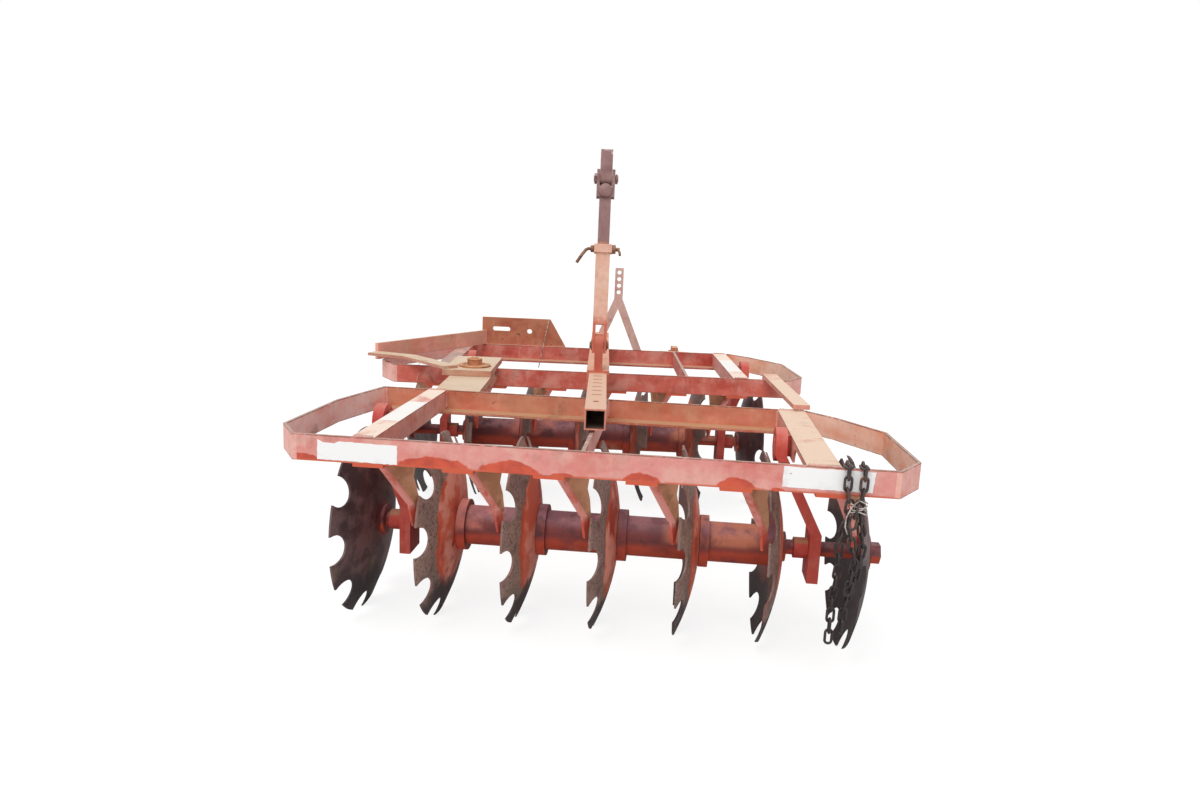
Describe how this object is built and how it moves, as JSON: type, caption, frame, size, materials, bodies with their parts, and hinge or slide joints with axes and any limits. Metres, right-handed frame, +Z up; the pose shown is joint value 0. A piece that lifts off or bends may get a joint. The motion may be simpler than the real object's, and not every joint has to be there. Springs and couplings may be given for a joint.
{
  "type": "disc harrow",
  "caption": "Mounted offset disc harrow: two gangs of notched dished discs in open frames of bent flat bar, hinged at the left, with a telescopic top-link mast and an adjusting tube.",
  "frame": {"origin": "middle of the footprint, on the ground", "axes": "+Y is the direction the tractor pulls, +X is right, +Z is up"},
  "size_m": [1.6444, 2.0754, 1.3191],
  "materials": {
    "bare_steel": "rough",
    "chain_steel": "rough",
    "disc_steel": "rough",
    "frame_paint": "satin",
    "rust_orange": "rough",
    "spool_paint": "satin"
  },
  "bodies": {
    "front_frame": {"front_front_beam": "frame_paint", "front_left_cross_bar": "frame_paint", "front_left_hanger": "frame_paint", "front_left_hoop": "frame_paint", "front_rear_beam": "frame_paint", "front_right_cross_bar": "frame_paint", "front_right_hanger": "frame_paint", "front_right_hoop": "frame_paint", "front_scrapers": "frame_paint", "front_thin_bar": "frame_paint", "hinge_bolt": "bare_steel", "hinge_lower_plate": "frame_paint", "hinge_top_plate": "frame_paint", "hitch_pin_left": "bare_steel", "hitch_pin_right": "bare_steel", "hitch_plate_left": "rust_orange", "hitch_plate_right": "rust_orange", "mast_pin": "bare_steel", "mast_stand": "rust_orange", "side_arm": "frame_paint", "sleeve": "frame_paint", "strap": "frame_paint", "support_arm": "frame_paint"},
    "rear_frame": {"rear_front_beam": "frame_paint", "rear_left_cross_bar": "frame_paint", "rear_left_hanger": "frame_paint", "rear_left_hoop": "frame_paint", "rear_rear_beam": "frame_paint", "rear_right_cross_bar": "frame_paint", "rear_right_hanger": "frame_paint", "rear_right_hoop": "frame_paint", "rear_scrapers": "frame_paint", "rear_thin_bar": "frame_paint", "hinge_tongue": "frame_paint", "chain": "chain_steel"},
    "front_gang": {"front_discs": "disc_steel", "front_spools": "spool_paint"},
    "rear_gang": {"rear_discs": "disc_steel", "rear_spools": "spool_paint"},
    "adjusting_tube": {"adjusting_tube": "frame_paint"},
    "mast": {"mast_tube": "frame_paint"},
    "mast_bar": {"mast_bar": "frame_paint", "clevis_pin": "bare_steel"},
    "link_block": {"link_block": "frame_paint"}
  },
  "joints": [
    {"name": "front_gang_spin", "type": "hinge", "parent": "front_frame", "child": "front_gang", "pos_m": [0.00124, 0.55767, 0.255], "axis": [1, 0, 0], "continuous": true},
    {"name": "gang_angle", "type": "hinge", "parent": "front_frame", "child": "rear_frame", "pos_m": [-0.40776, 0.15067, 0.562], "axis": [0, 0, 1], "range_deg": [-20, 4.9]},
    {"name": "rear_gang_spin", "type": "hinge", "parent": "rear_frame", "child": "rear_gang", "pos_m": [0.04474, -0.62381, 0.255], "axis": [0.9963, -0.0854, 0], "continuous": true},
    {"name": "tube_slide", "type": "slide", "parent": "front_frame", "child": "adjusting_tube", "axis": [0, 1, 0], "range_m": [-0.1538, 0.0392]},
    {"name": "mast_tilt", "type": "hinge", "parent": "front_frame", "child": "mast", "pos_m": [0.02724, -0.12933, 0.71], "axis": [1, 0, 0], "range_deg": [-25, 25]},
    {"name": "mast_length", "type": "slide", "parent": "mast", "child": "mast_bar", "axis": [0, 0.1392, 0.9903], "range_m": [-0.07, 0.08]},
    {"name": "link_swivel", "type": "hinge", "parent": "mast_bar", "child": "link_block", "pos_m": [0.02724, -0.0564, 1.2289], "axis": [1, 0, 0], "range_deg": [-75, 75]}
  ],
  "couplings": [
    {"joint": "tube_slide", "follows": "gang_angle", "m_per_rad": 0.435}
  ]
}
